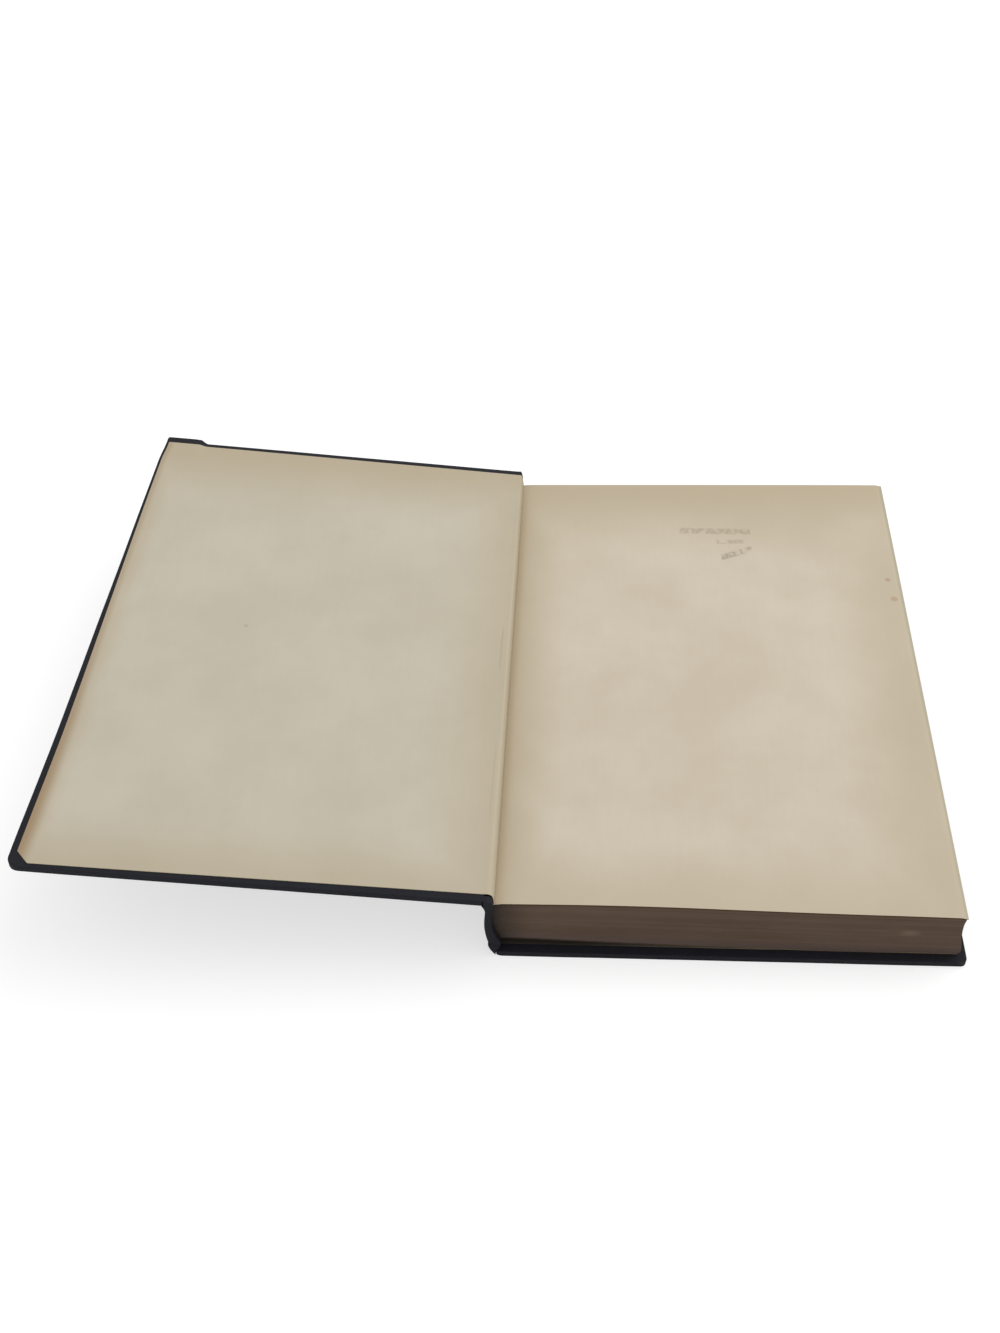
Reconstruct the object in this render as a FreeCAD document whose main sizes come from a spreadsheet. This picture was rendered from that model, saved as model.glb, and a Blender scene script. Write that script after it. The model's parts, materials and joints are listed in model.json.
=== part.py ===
import FreeCAD, Part
import math
import os
import Sketcher

# An old case-bound book that lies open at its front cover, with the flyleaf showing.
# The back cover's underside is at z = 0, X runs from the spine to the fore edge and
# Y from the tail of the book to its head. The origin is at the back cover's middle.
doc = FreeCAD.newDocument("open_book")

# driving sizes in millimetres and degrees
book_sizes = {
    "page_width": 146.0,        # leaf, from the fold to the fore edge
    "page_height": 216.0,       # leaf, from tail to head
    "pages_depth": 19.4,        # thickness of all the pages
    "round_depth": 2.1,         # how far the spine of the pages swells
    "fore_hollow": 1.2,         # how far the fore edge of the pages is hollowed
    "paper": 0.2,               # endpaper
    "board": 2.0,               # cover board
    "cloth": 0.35,              # covering cloth
    "square": 2.8,              # how far the covers stand out past the pages
    "turn_in": 14.0,            # cloth turned over on to the inside of a cover
    "corner_round": 1.6,        # worn fore corners of the covers
    "edge_round": 0.3,          # cloth rounded over the cover's edges
    "paste_margin": 1.6,        # cloth left showing round a pastedown
    "mull": 0.2,                # gauze that ties the pages to the covers
    "mull_flap": 25.0,          # gauze glued down on each cover, from its joint edge
    "mull_short": 18.0,         # gauze stops this far from the pages' head and tail
    "lining": 0.15,             # paper pasted over the gauze on the spine
    "spine_card": 0.5,          # card strip inside the spine cloth
    "hollow_back": 0.1,         # play between the pages' spine and the cover's spine
    "spine_bow": 1.0,           # curve of the cover's spine
    "cap_turn_in": 12.0,        # spine cloth turned in at head and tail
    "foot_reach": 1.3,          # the lowest leaf's fold, measured from the top one's
    "spine_lift": 3.6,          # the open cover draws the spine side up this much
    "lift_reach": 80.0,         # from the fold to where the pages lie flat again
    "crest_rise": 1.6,          # crest of the first leaves above their flat part
    "crest_reach": 18.0,        # from the fold to that crest
    "flat_fore": 8.0,           # the first leaves are flat this near their fore edge
    "page_clearance": 0.1,      # between the last leaf and the back cover
    "closed_clearance": 0.4,    # between the first leaf and the closed front cover
    "hinge_set": 1.4,           # each cover's hinge line, this far behind the fold
    "open_rise": 5.7,           # degrees that the open front cover slopes up
    "closed_rise": 0.4,         # degrees that the closed front cover slopes up
    "joint_room": 1.3,          # between the spine cloth and a cover folded right back
    "front_joint_loop": 1.0,    # bow of the folded cloth at the front joint
    "front_fold_bow": 0.6,      # bow of the endpaper in the front gutter
    "back_joint_bow": 0.4,      # bow of the cloth at the back joint
    "back_fold_bow": 0.5,       # bow of the endpaper in the back gutter
}
sizes = doc.addObject("Spreadsheet::Sheet", "sizes")
for row, (name, value) in enumerate(book_sizes.items(), start=1):
    sizes.set(f"A{row}", name.replace("_", " "))
    sizes.set(f"B{row}", str(value))
    sizes.setAlias(f"B{row}", name)

# places that follow from the sizes; x is measured from the fold of the flyleaf
book_places = {
    "cover_width": "sizes.page_width + sizes.square",
    "cover_height": "sizes.page_height + 2 * sizes.square",
    "cover_depth": "sizes.cloth + sizes.board + sizes.paper",
    "fold_x": "-cover_width / 2",
    # the pages: flat top and bottom, crest of the first leaves, lifted spine side
    "bottom_z": "cover_depth + sizes.page_clearance + sizes.paper",
    "top_z": "bottom_z + sizes.pages_depth",
    "bend_end_x": "sizes.page_width - sizes.flat_fore",
    "bend_run": "bend_end_x - sizes.crest_reach",
    "bend_radius": "(bend_run^2 + sizes.crest_rise^2) / (4 * sizes.crest_rise)",
    "bend_middle_x": "sizes.crest_reach + bend_run / 2",
    "bend_middle_z": "top_z + sizes.crest_rise / 2",
    "crest_centre_z": "top_z + sizes.crest_rise - bend_radius",
    "fold_z": "crest_centre_z + sqrt(bend_radius^2 - sizes.crest_reach^2)",
    "lift_run": "sizes.lift_reach - sizes.foot_reach",
    "lift_radius": "(lift_run^2 + sizes.spine_lift^2) / (2 * sizes.spine_lift)",
    "foot_z": "bottom_z + sizes.spine_lift",
    "fore_radius": "sizes.pages_depth^2 / (8 * sizes.fore_hollow) + sizes.fore_hollow / 2",
    # arc of the pages' spine, through the top fold and the bottom fold
    "spine_drop": "fold_z - foot_z",
    "spine_chord": "sqrt(spine_drop^2 + sizes.foot_reach^2)",
    "spine_radius": "spine_chord^2 / (8 * sizes.round_depth) + sizes.round_depth / 2",
    "spine_inset": "(spine_radius - sizes.round_depth) / spine_chord",
    "spine_centre_x": "sizes.foot_reach / 2 + spine_inset * spine_drop",
    "spine_centre_z": "(fold_z + foot_z) / 2 + spine_inset * sizes.foot_reach",
    # hinge lines, and the two ends of each cover's joint edge
    "back_hinge_z": "sizes.cloth + sizes.board",
    "crest_height": "top_z + sizes.crest_rise + sizes.paper",
    "closed_lift": "(sizes.crest_reach + sizes.hinge_set) * tan(sizes.closed_rise)",
    "front_hinge_z": "crest_height + sizes.closed_clearance + sizes.paper + sizes.board - closed_lift",
    "rise_cos": "cos(sizes.open_rise)",
    "rise_sin": "sin(sizes.open_rise)",
    "board_edge_x": "-sizes.hinge_set * (1 + rise_cos)",
    "board_edge_z": "front_hinge_z + sizes.hinge_set * rise_sin",
    # arc of the cover's spine
    "case_out_x": "spine_centre_x - spine_radius - sizes.mull - sizes.lining"
                  " - sizes.hollow_back - 2 * sizes.cloth - sizes.spine_card",
    "case_end_x": "case_out_x + sizes.spine_bow",
    "case_top_z": "front_hinge_z - 2 * sizes.joint_room",
    "case_foot_z": "2 * back_hinge_z + sizes.joint_room",
    "case_chord": "case_top_z - case_foot_z",
    "case_radius": "case_chord^2 / (8 * sizes.spine_bow) + sizes.spine_bow / 2",
    "case_centre_x": "case_out_x + case_radius",
    "case_centre_z": "(case_top_z + case_foot_z) / 2",
}
places = doc.addObject("Spreadsheet::Sheet", "places")
for row, (name, formula) in enumerate(book_places.items(), start=1):
    places.set(f"A{row}", name.replace("_", " "))
    places.set(f"B{row}", "=" + formula)
    places.setAlias(f"B{row}", name)
doc.recompute()

nodes = {}
near_zero = 1e-6


def make_body(label, placement):
    """One separate piece of the book, placed by a formula."""
    body = doc.addObject("PartDesign::Body", label)
    body.Label = label
    body.setExpression("Placement", placement)
    nodes[label] = body
    return body


def plane_sketch(body, name, role, lift="0"):
    """An empty sketch on the body's own XY or XZ plane, raised by lift."""
    plane = next(item for item in body.Origin.OriginFeatures if item.Role == role)
    sketch = body.newObject("Sketcher::SketchObject", f"{body.Label}_{name}")
    sketch.AttachmentSupport = [(plane, "")]
    sketch.MapMode = "FlatFace"
    sketch.setExpression("AttachmentOffset.Base.z", lift)
    return sketch


def bind(sketch, kind, value, formula, *geometry):
    """A sketch dimension that follows a formula."""
    index = sketch.addConstraint(Sketcher.Constraint(kind, *geometry, value))
    sketch.setExpression(f"Constraints[{index}]", formula)


def arc_between(start, end, radius, side):
    """The short arc from start to end. Its centre is on the left where side is 1."""
    chord = end - start
    reach = math.sqrt(max(radius**2 - (chord.Length / 2) ** 2, 0.0))
    across = FreeCAD.Vector(-chord.y, chord.x, 0).normalize()
    centre = (start + end) / 2 + across * (side * reach)
    first, last = (start, end) if side > 0 else (end, start)
    angles = [math.atan2((p - centre).y, (p - centre).x) for p in (first, last)]
    circle = Part.Circle(centre, FreeCAD.Vector(0, 0, 1), radius)
    return Part.ArcOfCircle(circle, angles[0], angles[1])


def outline(sketch, corners, arcs=None):
    """A closed outline through corners given as formulas. arcs holds the radius formula
    and the centre's side of each edge that is round, by the number of its first corner."""
    arcs = arcs or {}
    points = [FreeCAD.Vector(*(float(sizes.evalExpression(f)) for f in corner), 0) for corner in corners]
    count = len(points)
    first_end = {}
    for number, start in enumerate(points):
        end = points[(number + 1) % count]
        if number in arcs:
            formula, side = arcs[number]
            radius = float(sizes.evalExpression(formula))
            edge = sketch.addGeometry(arc_between(start, end, radius, side))
            first_end[edge] = 1 if side > 0 else 2
            bind(sketch, "Radius", radius, formula, edge)
        else:
            edge = sketch.addGeometry(Part.LineSegment(start, end))
            first_end[edge] = 1
    for edge in range(count):
        following = (edge + 1) % count
        ends = (edge, 3 - first_end[edge], following, first_end[following])
        sketch.addConstraint(Sketcher.Constraint("Coincident", *ends))
        bind(sketch, "DistanceX", points[edge].x, corners[edge][0], -1, 1, edge, first_end[edge])
        bind(sketch, "DistanceY", points[edge].y, corners[edge][1], -1, 1, edge, first_end[edge])


def pad(body, sketch, length, symmetric=False):
    feature = body.newObject("PartDesign::Pad", f"{sketch.Label}_pad")
    feature.Profile = sketch
    feature.SideType = "Symmetric" if symmetric else "One side"
    feature.setExpression("Length", length)
    return feature


def pocket(body, sketch, length, symmetric=False):
    """Cuts from the sketch upwards, or the same way to both sides."""
    feature = body.newObject("PartDesign::Pocket", f"{sketch.Label}_pocket")
    feature.Profile = sketch
    feature.SideType = "Symmetric" if symmetric else "One side"
    feature.Reversed = not symmetric
    feature.setExpression("Length", length)
    return feature


# all that rides with the pages is drawn in a section across the spine
at_fold = "placement(vector(places.fold_x; 0; 0); rotation(vector(0; 0; 1); 0))"


def section_piece(label, corners, arcs, length="sizes.page_height"):
    body = make_body(label, at_fold)
    sketch = plane_sketch(body, "section", "XZ_Plane")
    outline(sketch, corners, arcs)
    pad(body, sketch, length, symmetric=True)
    return body


def along_crest(offset):
    """Corners of the first leaves' top face from the fold to the fore edge, raised by offset."""
    outer = f"(places.bend_radius + {offset})"
    share = f"{offset} / places.bend_radius"
    return [
        ("0", f"places.crest_centre_z + sqrt({outer}^2 - sizes.crest_reach^2)"),
        (
            f"places.bend_middle_x + places.bend_run / 2 * {share}",
            f"places.bend_middle_z + (places.bend_radius - sizes.crest_rise / 2) * {share}",
        ),
        ("places.bend_end_x", f"places.top_z + {offset}"),
        ("sizes.page_width", f"places.top_z + {offset}"),
    ]


def along_lift(offset):
    """Corners of the last leaves' lower face from the fore edge to the spine, lowered by offset."""
    outer = f"(places.lift_radius + {offset})"
    return [
        ("sizes.page_width", f"places.bottom_z - {offset}"),
        ("sizes.lift_reach", f"places.bottom_z - {offset}"),
        (
            "sizes.foot_reach",
            f"places.bottom_z + places.lift_radius - sqrt({outer}^2 - places.lift_run^2)",
        ),
    ]


def make_pages():
    """All the leaves as one block: swollen spine, hollow fore edge, crest and lifted foot."""
    corners = along_crest("0") + along_lift("0")
    arcs = {
        0: ("places.bend_radius", -1),
        1: ("places.bend_radius", 1),
        3: ("places.fore_radius", 1),
        5: ("places.lift_radius", -1),
        6: ("places.spine_radius", -1),
    }
    section_piece("text_block", corners, arcs)


def make_front_flyleaf():
    lower = along_crest("0")
    upper = along_crest("sizes.paper")
    arcs = {
        0: ("places.bend_radius", -1),
        1: ("places.bend_radius", 1),
        5: ("places.bend_radius - sizes.paper", -1),
        6: ("places.bend_radius + sizes.paper", 1),
    }
    section_piece("front_flyleaf", lower + upper[::-1], arcs)


def make_back_flyleaf():
    lower = along_lift("sizes.paper")
    upper = along_lift("0")
    arcs = {
        1: ("places.lift_radius + sizes.paper", -1),
        3: ("places.lift_radius", 1),
    }
    section_piece("back_flyleaf", lower + upper[::-1], arcs)


def arc_point(centre, end, radius, base_radius):
    """Where the line from the centre to an end of the base arc crosses another radius."""
    return tuple(f"{c} + ({e} - ({c})) * ({radius}) / ({base_radius})" for c, e in zip(centre, end))


def band(centre, ends, base_radius, outer, inner):
    """Corners and arcs of a strip between two radii about one centre, from top to foot."""
    top, foot = ends
    corners = [
        arc_point(centre, top, outer, base_radius),
        arc_point(centre, foot, outer, base_radius),
        arc_point(centre, foot, inner, base_radius),
        arc_point(centre, top, inner, base_radius),
    ]
    return corners, {0: (outer, 1), 2: (inner, -1)}


pages_arc = (
    ("places.spine_centre_x", "places.spine_centre_z"),
    (("0", "places.fold_z"), ("sizes.foot_reach", "places.foot_z")),
    "places.spine_radius",
)
case_arc = (
    ("places.case_centre_x", "places.case_centre_z"),
    (("places.case_end_x", "places.case_top_z"), ("places.case_end_x", "places.case_foot_z")),
    "places.case_radius",
)


def make_spine_linings():
    """Gauze on the pages' spine, and the paper pasted over it."""
    mull_face = "places.spine_radius + sizes.mull"
    corners, arcs = band(*pages_arc, mull_face, "places.spine_radius")
    section_piece("spine_mull", corners, arcs, "sizes.page_height - 2 * sizes.mull_short")
    corners, arcs = band(*pages_arc, f"{mull_face} + sizes.lining", mull_face)
    section_piece("spine_lining", corners, arcs, "sizes.page_height - 2 * sizes.mull_short")


def make_case_spine():
    """Card strip with the cloth round it, turned in at head and tail."""
    card_out = "places.case_radius - sizes.cloth"
    card_in = f"{card_out} - sizes.spine_card"
    inside = f"{card_in} - sizes.cloth"
    corners, arcs = band(*case_arc, card_out, card_in)
    section_piece("spine_card", corners, arcs, "places.cover_height - 2 * sizes.cloth")
    corners, arcs = band(*case_arc, "places.case_radius", inside)
    body = section_piece("spine_cloth", corners, arcs, "places.cover_height")
    card_room = plane_sketch(body, "card_room", "XZ_Plane")
    outline(card_room, *band(*case_arc, card_out, card_in))
    pocket(body, card_room, "places.cover_height - 2 * sizes.cloth", symmetric=True)
    between_caps = plane_sketch(body, "between_caps", "XZ_Plane")
    outline(between_caps, *band(*case_arc, card_in, inside))
    pocket(body, between_caps, "places.cover_height - 2 * sizes.cap_turn_in", symmetric=True)


def bow_radius(start, end, bow):
    """Radius of an arc that stands off its chord by bow."""
    square_x = f"({end[0]} - ({start[0]}))^2"
    square_z = f"({end[1]} - ({start[1]}))^2"
    return f"({square_x} + {square_z}) / (8 * {bow}) + {bow} / 2"


def open_edge_point(height):
    """Place on the open front cover's joint edge, at a height above the board's outer face."""
    return (
        f"places.board_edge_x + ({height}) * places.rise_sin",
        f"places.board_edge_z + ({height}) * places.rise_cos",
    )


def joint_strip(label, first, second, first_bow, second_bow, length):
    """Flexible strip whose two round faces each run between a start and an end point."""
    corners = [first[0], first[1], second[1], second[0]]
    arcs = {
        0: (bow_radius(first[0], first[1], first_bow), 1),
        2: (bow_radius(second[1], second[0], second_bow), -1),
    }
    section_piece(label, corners, arcs, length)


def make_front_joint():
    """Cloth folded back on itself under the open cover, and the endpaper up to the cover."""
    inner_radius = "places.case_radius - sizes.cloth"
    top_out = case_arc[1][0]
    top_in = arc_point(case_arc[0], top_out, inner_radius, case_arc[2])
    first = (top_out, open_edge_point("-sizes.cloth"))
    second = (top_in, open_edge_point("0"))
    bow = "sizes.front_joint_loop"
    joint_strip("front_joint_cloth", first, second, bow, bow, "places.cover_height")

    outer = "(places.bend_radius + sizes.paper)"
    at_face = "places.crest_centre_z + sqrt({}^2 - (sizes.crest_reach - {})^2)"
    fold_left = ("0", at_face.format(outer, "0"))
    fold_right = ("sizes.paper", at_face.format(outer, "sizes.paper"))
    first = (fold_left, open_edge_point("sizes.board"))
    second = (fold_right, open_edge_point("sizes.board + sizes.paper"))
    bow = "sizes.front_fold_bow"
    joint_strip("front_fold_paper", first, second, bow, bow, "sizes.page_height")


def make_back_joint():
    """Cloth from the spine down to the back cover, and the endpaper inside it."""
    inner_radius = "places.case_radius - sizes.cloth"
    foot_out = case_arc[1][1]
    foot_in = arc_point(case_arc[0], foot_out, inner_radius, case_arc[2])
    first = (foot_out, ("0", "0"))
    second = (foot_in, ("0", "sizes.cloth"))
    bow = "sizes.back_joint_bow"
    joint_strip("back_joint_cloth", first, second, bow, bow, "places.cover_height")

    first = (("sizes.foot_reach", "places.foot_z"), ("0", "sizes.cloth + sizes.board"))
    second = (along_lift("sizes.paper")[-1], ("0", "places.cover_depth"))
    bow = "sizes.back_fold_bow"
    joint_strip("back_fold_paper", first, second, f"({bow} + sizes.paper)", bow, "sizes.page_height")


# A cover is drawn lying on its outer face, from its joint edge at x = 0 to its fore edge.
# The back one stays so. The front one is turned round and tilted about its hinge line.
back_place = at_fold
half_rise = "sizes.open_rise / 2"
front_place = (
    "placement(vector("
    "places.fold_x + places.board_edge_x - sizes.cloth * places.rise_sin; 0; "
    "places.board_edge_z - sizes.cloth * places.rise_cos); "
    f"rotation(vector(sin({half_rise}); 0; cos({half_rise})); 180))"
)


def cover_outline(sketch, inset, round_radius):
    """A cover's outline, drawn in from its head, fore and tail edges, with round fore corners."""
    far = f"places.cover_width - ({inset})"
    side = f"places.cover_height / 2 - ({inset})"
    corners = [
        ("0", f"-({side})"),
        (f"{far} - ({round_radius})", f"-({side})"),
        (far, f"-({side}) + ({round_radius})"),
        (far, f"{side} - ({round_radius})"),
        (f"{far} - ({round_radius})", side),
        ("0", side),
    ]
    outline(sketch, corners, {1: (round_radius, 1), 3: (round_radius, 1)})


def block_outline(sketch, near, far, half_height):
    """A plain rectangle from near to far, the same to both sides."""
    corners = [(near, f"-({half_height})"), (far, f"-({half_height})"), (far, half_height), (near, half_height)]
    outline(sketch, corners)


board_round = "sizes.corner_round - sizes.cloth"
window_far = "places.cover_width - sizes.turn_in"
window_half = "places.cover_height / 2 - sizes.turn_in"
flap_half = "sizes.page_height / 2 - sizes.mull_short"
board_face = "sizes.cloth + sizes.board"


def make_board(label, place):
    """Grey board. Pressing has sunk the turned-in cloth and the gauze flush with its face."""
    body = make_body(label, place)
    lower = plane_sketch(body, "lower", "XY_Plane", "sizes.cloth")
    cover_outline(lower, "sizes.cloth", board_round)
    pad(body, lower, "sizes.board - sizes.cloth")
    upper = plane_sketch(body, "upper", "XY_Plane", board_face + " - sizes.cloth")
    block_outline(upper, "0", window_far, window_half)
    pad(body, upper, "sizes.cloth")
    flap = plane_sketch(body, "flap", "XY_Plane", board_face + " - sizes.mull")
    block_outline(flap, "0", "sizes.mull_flap", flap_half)
    pocket(body, flap, "sizes.mull")


def make_cover_cloth(label, place):
    """Cloth over the outer face and three edges, turned in round the board."""
    body = make_body(label, place)
    whole = plane_sketch(body, "whole", "XY_Plane")
    cover_outline(whole, "0", "sizes.corner_round")
    pad(body, whole, board_face)
    doc.recompute()
    round_edges(body)
    inside = plane_sketch(body, "inside", "XY_Plane", "sizes.cloth")
    cover_outline(inside, "sizes.cloth", board_round)
    pocket(body, inside, "sizes.board - sizes.cloth")
    window = plane_sketch(body, "window", "XY_Plane", board_face + " - sizes.cloth")
    block_outline(window, "0", window_far, window_half)
    pocket(body, window, "sizes.cloth")


def round_edges(body):
    """Rounds the long edges of a cover's cloth, but not at its joint edge."""
    solid = body.Tip
    names = []
    for number, edge in enumerate(solid.Shape.Edges, start=1):
        box = edge.BoundBox
        level = box.ZLength < near_zero
        joint_edge = box.XMax < near_zero
        if level and not joint_edge:
            names.append(f"Edge{number}")
    fillet = body.newObject("PartDesign::Fillet", f"{body.Label}_round")
    fillet.Base = (solid, names)
    fillet.setExpression("Radius", "sizes.edge_round")
    body.Tip = fillet


def make_mull_flap(label, place):
    body = make_body(label, place)
    sketch = plane_sketch(body, "flap", "XY_Plane", board_face + " - sizes.mull")
    block_outline(sketch, "0", "sizes.mull_flap", flap_half)
    pad(body, sketch, "sizes.mull")


def make_pastedown(label, place):
    body = make_body(label, place)
    sketch = plane_sketch(body, "sheet", "XY_Plane", board_face)
    block_outline(sketch, "0", "places.cover_width - sizes.paste_margin",
                  "places.cover_height / 2 - sizes.paste_margin")
    pad(body, sketch, "sizes.paper")


make_pages()
make_front_flyleaf()
make_back_flyleaf()
make_spine_linings()
make_case_spine()
make_front_joint()
make_back_joint()
for side_name, side_place in (("front", front_place), ("back", back_place)):
    make_board(f"{side_name}_board", side_place)
    make_cover_cloth(f"{side_name}_cover_cloth", side_place)
    make_mull_flap(f"{side_name}_mull_flap", side_place)
    make_pastedown(f"{side_name}_pastedown", side_place)
doc.recompute()

for item in doc.Objects:
    if "Invalid" in item.State or "Error" in item.State:
        raise RuntimeError(f"{item.Label} failed: {item.State}")
for label, body in nodes.items():
    if body.Shape.isNull() or not body.Shape.isValid() or len(body.Shape.Solids) != 1:
        raise RuntimeError(f"{label} is not one valid solid")

os.makedirs("parts", exist_ok=True)
for label, body in nodes.items():
    body.Shape.exportStep(f"parts/{label}.step")
    print(label, round(body.Shape.Volume, 2))
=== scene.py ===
import bpy
import json
import math
import random
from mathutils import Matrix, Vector, noise

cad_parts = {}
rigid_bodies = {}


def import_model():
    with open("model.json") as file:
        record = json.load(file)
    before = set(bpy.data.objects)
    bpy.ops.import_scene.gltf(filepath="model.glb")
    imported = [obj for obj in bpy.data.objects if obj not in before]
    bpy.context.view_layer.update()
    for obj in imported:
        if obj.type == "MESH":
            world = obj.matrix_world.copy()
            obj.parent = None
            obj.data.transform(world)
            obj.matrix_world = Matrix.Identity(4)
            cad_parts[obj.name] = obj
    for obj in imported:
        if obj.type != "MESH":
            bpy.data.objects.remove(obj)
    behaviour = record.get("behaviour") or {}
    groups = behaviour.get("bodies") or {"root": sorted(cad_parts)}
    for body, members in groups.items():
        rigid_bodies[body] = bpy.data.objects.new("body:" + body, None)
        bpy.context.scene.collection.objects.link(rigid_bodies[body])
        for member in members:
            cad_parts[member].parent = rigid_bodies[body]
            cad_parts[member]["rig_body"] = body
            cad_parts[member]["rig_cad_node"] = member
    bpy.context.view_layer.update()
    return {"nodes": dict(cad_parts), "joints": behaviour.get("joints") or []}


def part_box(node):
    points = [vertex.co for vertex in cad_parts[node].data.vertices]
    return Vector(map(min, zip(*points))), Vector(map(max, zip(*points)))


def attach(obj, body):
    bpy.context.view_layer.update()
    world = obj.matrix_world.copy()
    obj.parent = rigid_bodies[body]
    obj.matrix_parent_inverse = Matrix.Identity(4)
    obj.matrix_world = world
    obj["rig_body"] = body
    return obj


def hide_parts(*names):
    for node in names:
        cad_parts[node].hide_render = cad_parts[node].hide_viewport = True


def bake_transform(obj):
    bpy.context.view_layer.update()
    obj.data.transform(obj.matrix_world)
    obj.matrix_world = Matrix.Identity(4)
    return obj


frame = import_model()
cadNodes = frame["nodes"]
mm = 0.001

# An old cloth-bound book, lying open at its front cover.
# All sizes are in millimetres. "Across" runs from the spine to the fore edge,
# "along" from the tail of the book to its head.
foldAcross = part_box("front_flyleaf")[0].x / mm  # where the flyleaf meets the gutter
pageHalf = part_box("text_block")[1].y / mm
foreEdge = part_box("text_block")[1].x / mm
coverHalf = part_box("back_cover_cloth")[1].y / mm
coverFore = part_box("back_cover_cloth")[1].x / mm
print("frame loaded")


# modelling helpers

def startPiece(name):
    piece = bpy.context.active_object
    piece.name = name
    piece.data.name = name
    bpy.ops.object.transform_apply(location=True, rotation=True, scale=True)
    return piece


def clearSelection():
    if bpy.context.object and bpy.context.object.mode != "OBJECT":
        bpy.ops.object.mode_set(mode="OBJECT")
    bpy.ops.object.select_all(action="DESELECT")


def editPiece(piece):
    clearSelection()
    piece.select_set(True)
    bpy.context.view_layer.objects.active = piece
    bpy.ops.object.mode_set(mode="EDIT")


def addPlane(name, left, right, tail, head, height=0):
    clearSelection()
    middle = ((left + right) / 2 * mm, (tail + head) / 2 * mm, height * mm)
    bpy.ops.mesh.primitive_plane_add(size=1, location=middle)
    bpy.context.active_object.scale = ((right - left) * mm, (head - tail) * mm, 1)
    return startPiece(name)


def addBlock(name, left, right, tail, head, low, high):
    clearSelection()
    middle = ((left + right) / 2 * mm, (tail + head) / 2 * mm, (low + high) / 2 * mm)
    bpy.ops.mesh.primitive_cube_add(size=1, location=middle)
    bpy.context.active_object.scale = ((right - left) * mm, (head - tail) * mm, (high - low) * mm)
    return startPiece(name)


def cutAt(piece, axis, places):  # cuts right through the piece at each place on an axis
    normal = [float(number == axis) for number in range(3)]
    editPiece(piece)
    for place in places:
        bpy.ops.mesh.select_all(action="SELECT")
        point = [place * mm * share for share in normal]
        bpy.ops.mesh.bisect(plane_co=point, plane_no=normal)
    bpy.ops.object.mode_set(mode="OBJECT")


def evenly(start, end, count):  # places that divide a length into equal steps
    return [start + (end - start) * step / count for step in range(1, count)]


def bothEnds(half, steps):  # places at these distances from both ends of a length that lies around 0
    return [side * (half - step) for step in steps for side in (1, -1)]


def moveVertices(piece, move):  # move takes and returns a place in millimetres
    for vertex in piece.data.vertices:
        vertex.co = move(vertex.co / mm) * mm
    piece.data.update()


def keepFlatPlan(piece):  # the flat, uncut sheet becomes the piece's UV map, in metres
    plan = piece.data.uv_layers.new(name="plan")
    for loop in piece.data.loops:
        place = piece.data.vertices[loop.vertex_index].co
        plan.data[loop.index].uv = (place.x, place.y)


def applyAll(piece):
    clearSelection()
    piece.select_set(True)
    bpy.context.view_layer.objects.active = piece
    for modifier in [item.name for item in piece.modifiers]:
        bpy.ops.object.modifier_apply(modifier=modifier)


def thicken(piece, thickness, offset=1.0):  # offset 1 grows along the faces' normals
    solidify = piece.modifiers.new("thickness", "SOLIDIFY")
    solidify.thickness = thickness * mm
    solidify.offset = offset


def roundEdges(piece, width, segments, angle=40):
    bevel = piece.modifiers.new("rounding", "BEVEL")
    bevel.width = width * mm
    bevel.segments = segments
    bevel.limit_method = "ANGLE"
    bevel.angle_limit = math.radians(angle)


def smooth(piece, angle=35):
    clearSelection()
    piece.select_set(True)
    bpy.context.view_layer.objects.active = piece
    bpy.ops.object.shade_smooth_by_angle(angle=math.radians(angle))


def walk(path, distance):  # the place at a distance along a line of (across, height) points
    for start, end in zip(path, path[1:]):
        step = math.dist(start, end)
        if distance <= step or end is path[-1]:
            share = distance / step
            return [a + (b - a) * share for a, b in zip(start, end)]
        distance -= step


def mixed(a, b, share):
    return a + (b - a) * share


def ease(share):  # smooth step from 0 to 1
    share = min(max(share, 0), 1)
    return share * share * (3 - 2 * share)


def curveAt(points, place):  # the height of a smooth curve through (place, height) points
    last = len(points) - 1
    at = max(number for number in range(last) if number == 0 or points[number][0] <= place)

    def slope(number):
        before, after = points[max(number - 1, 0)], points[min(number + 1, last)]
        return (after[1] - before[1]) / (after[0] - before[0])

    (start, low), (end, high) = points[at], points[at + 1]
    run = end - start
    share = (place - start) / run
    away = (1 - share) * share
    bend = slope(at) * (1 - share) - slope(at + 1) * share
    return mixed(low, high, ease(share) if 0 <= share <= 1 else share) + bend * run * away


# node helpers

def lightScale(value):  # one channel, from a picture file's scale to that of light
    return value / 12.92 if value <= 0.04045 else ((value + 0.055) / 1.055) ** 2.4


def photoColour(red, green, blue):  # a colour as a picture file writes it, 0 to 255
    return [lightScale(value / 255) for value in (red, green, blue)] + [1]


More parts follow.
